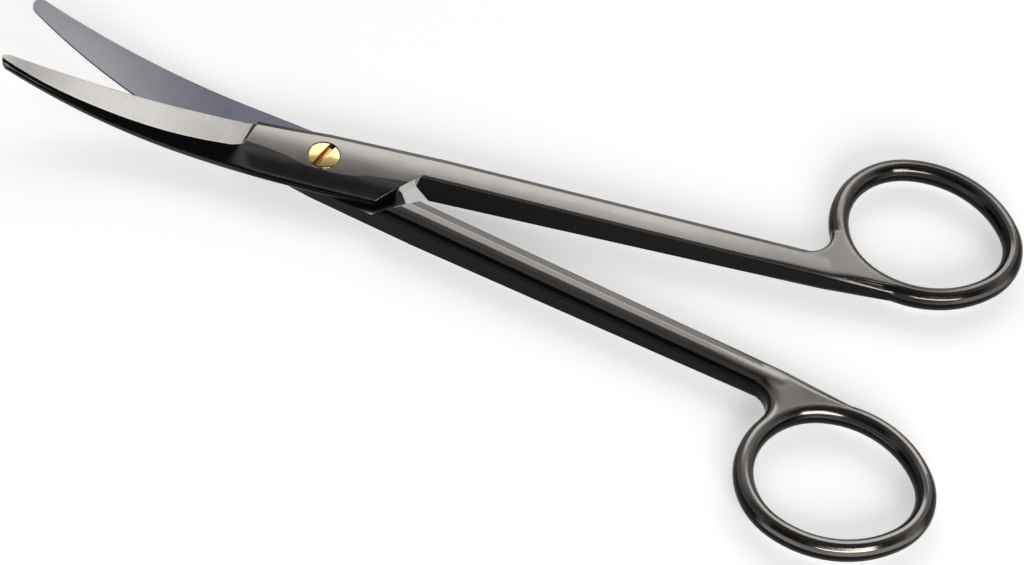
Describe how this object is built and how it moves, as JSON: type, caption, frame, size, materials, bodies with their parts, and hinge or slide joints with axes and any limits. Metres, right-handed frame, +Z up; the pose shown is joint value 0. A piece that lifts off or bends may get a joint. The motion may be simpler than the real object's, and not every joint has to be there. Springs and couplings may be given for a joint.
{
  "type": "dissecting scissors",
  "caption": "Fine dissecting scissors with long shanks, oval finger rings and short slender blades that curve upward, joined by a slotted pivot screw.",
  "frame": {"origin": "pivot axis at the flat underside of the joint", "axes": "+X from the pivot toward the finger rings, midway between them; +Y toward the upper half's ring; +Z up along the pivot screw, toward its slotted head and the way that the blades curve"},
  "size_m": [0.1673, 0.081, 0.0135],
  "materials": {
    "black_steel": "hard black coating over polished steel, mirror bright, with satin ground blades",
    "gold_screw": "gold plated, polished"
  },
  "bodies": {
    "lower": {"lower_half": "black_steel", "pivot_screw": "gold_screw"},
    "upper": {"upper_half": "black_steel"}
  },
  "joints": [
    {"name": "blade_pivot", "type": "hinge", "parent": "lower", "child": "upper", "pos_m": [0, 0, 0], "axis": [0, 0, 1], "range_deg": [-13.4, 46]}
  ]
}
